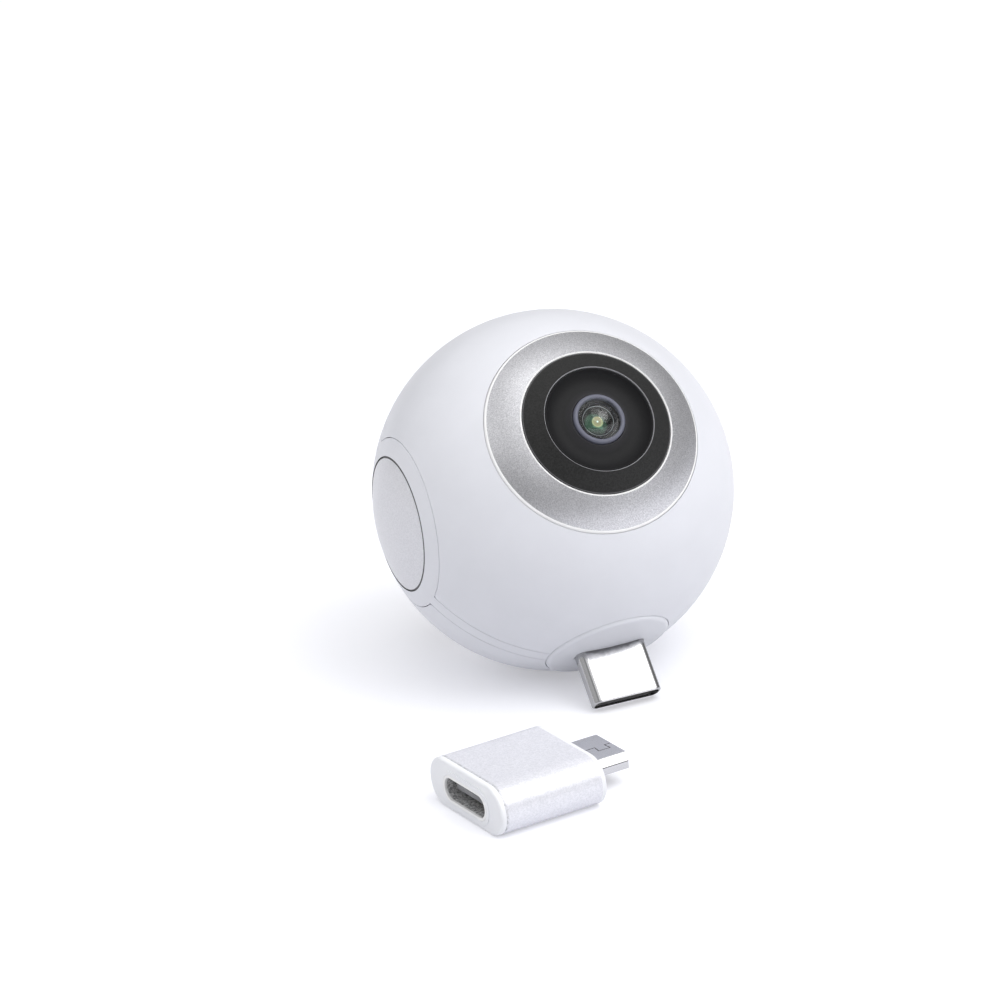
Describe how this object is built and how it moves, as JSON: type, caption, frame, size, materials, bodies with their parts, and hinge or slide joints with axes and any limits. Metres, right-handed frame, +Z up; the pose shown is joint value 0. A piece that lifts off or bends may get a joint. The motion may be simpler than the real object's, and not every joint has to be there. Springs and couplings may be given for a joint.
{
  "type": "360 degree camera",
  "caption": "Small ball-shaped camera with a wide-angle lens on each side, a press button, and a plug it stands on, with a loose plug adapter beside it",
  "frame": {"origin": "On the table, at the point where the ball touches it, under the ball's centre.", "axes": "+Z up from the table; the ball's button faces -X; the plug points down to -Y and rests its tip on the table; the front lens looks up towards -Y."},
  "size_m": [0.0488, 0.0638, 0.041],
  "materials": {
    "white_shell": "satin white moulded shell",
    "silver_ring": "blasted aluminium with polished edges",
    "black_ring": "matt black",
    "dark_dish": "dark satin",
    "black_metal": "black anodised",
    "lens_ring": "lilac-grey satin metal",
    "coated_glass": "coated glass",
    "lens_glass": "clear glass",
    "filter_glass": "pale blue filter glass",
    "sensor_chip": "glossy chip face",
    "circuit_board": "green solder mask",
    "bracket_metal": "die-cast grey",
    "flat_cable": "amber film",
    "sheet_steel": "tinned sheet",
    "chip_black": "moulded chip packages",
    "connector_plastic": "dark connector plastic",
    "screw_steel": "dark steel",
    "button_pearl": "satin pearl paint",
    "switch_plastic": "black switch housing",
    "white_pad": "satin white pad",
    "plug_steel": "bright drawn steel",
    "black_plastic": "black moulding",
    "gold_contacts": "gold plating",
    "pearl_body": "pearl white with a fine sparkle",
    "pearl_cap": "smooth white",
    "socket_steel": "bright steel",
    "spring_steel": "bright spring steel"
  },
  "bodies": {
    "camera": {"front_shell": "white_shell", "front_bezel_ring": "silver_ring", "front_surround_ring": "black_ring", "front_lens_dish": "dark_dish", "front_lens_barrel": "black_metal", "front_retaining_ring": "lens_ring", "front_dome_glass": "coated_glass", "front_middle_lens": "lens_glass", "front_aperture_stop": "black_metal", "front_inner_lens": "lens_glass", "front_lens_holder": "black_plastic", "front_infrared_filter": "filter_glass", "front_image_sensor": "sensor_chip", "front_sensor_board": "circuit_board", "front_sensor_bracket": "bracket_metal", "front_sensor_flex": "flat_cable", "rear_shell": "white_shell", "rear_bezel_ring": "silver_ring", "rear_surround_ring": "black_ring", "rear_lens_dish": "dark_dish", "rear_lens_barrel": "black_metal", "rear_retaining_ring": "lens_ring", "rear_dome_glass": "coated_glass", "rear_middle_lens": "lens_glass", "rear_aperture_stop": "black_metal", "rear_inner_lens": "lens_glass", "rear_lens_holder": "black_plastic", "rear_infrared_filter": "filter_glass", "rear_image_sensor": "sensor_chip", "rear_sensor_board": "circuit_board", "rear_sensor_bracket": "bracket_metal", "rear_sensor_flex": "flat_cable", "centre_band": "white_shell", "main_board": "circuit_board", "shield_can": "sheet_steel", "board_chips": "chip_black", "board_connectors": "connector_plastic", "frame_screws": "screw_steel", "shell_screws": "screw_steel", "switch_body": "switch_plastic", "button_board": "circuit_board", "button_flex": "flat_cable", "plug_boot": "white_pad", "plug_shell": "plug_steel", "plug_insulator": "black_plastic", "plug_contacts": "gold_contacts"},
    "button": {"button_cap": "button_pearl"},
    "switch": {"switch_plunger": "black_plastic"},
    "adapter": {"adapter_housing": "pearl_body", "adapter_end_cap": "pearl_cap", "adapter_tail_cap": "pearl_cap", "receptacle_shell": "socket_steel", "receptacle_tongue": "black_plastic", "receptacle_contacts": "gold_contacts", "adapter_board": "circuit_board", "micro_plug_shell": "plug_steel", "micro_plug_core": "black_plastic", "micro_plug_contacts": "gold_contacts"},
    "latches": {"micro_plug_latches": "spring_steel"}
  },
  "joints": [
    {"name": "button_press", "type": "slide", "parent": "camera", "child": "button", "axis": [1, 0, 0], "range_m": [0, 0.0003], "stiffness_N_per_m": 2000},
    {"name": "switch_press", "type": "slide", "parent": "camera", "child": "switch", "axis": [1, 0, 0], "range_m": [0, 0.0003]},
    {"name": "adapter_lift", "type": "slide", "parent": "camera", "child": "adapter", "axis": [0, 0, 1], "range_m": [0, 0.03]},
    {"name": "latch_press", "type": "slide", "parent": "adapter", "child": "latches", "axis": [0, 0, 1], "range_m": [0, 0.0002], "stiffness_N_per_m": 500}
  ],
  "couplings": [
    {"joint": "switch_press", "follows": "button_press", "ratio": 1}
  ]
}
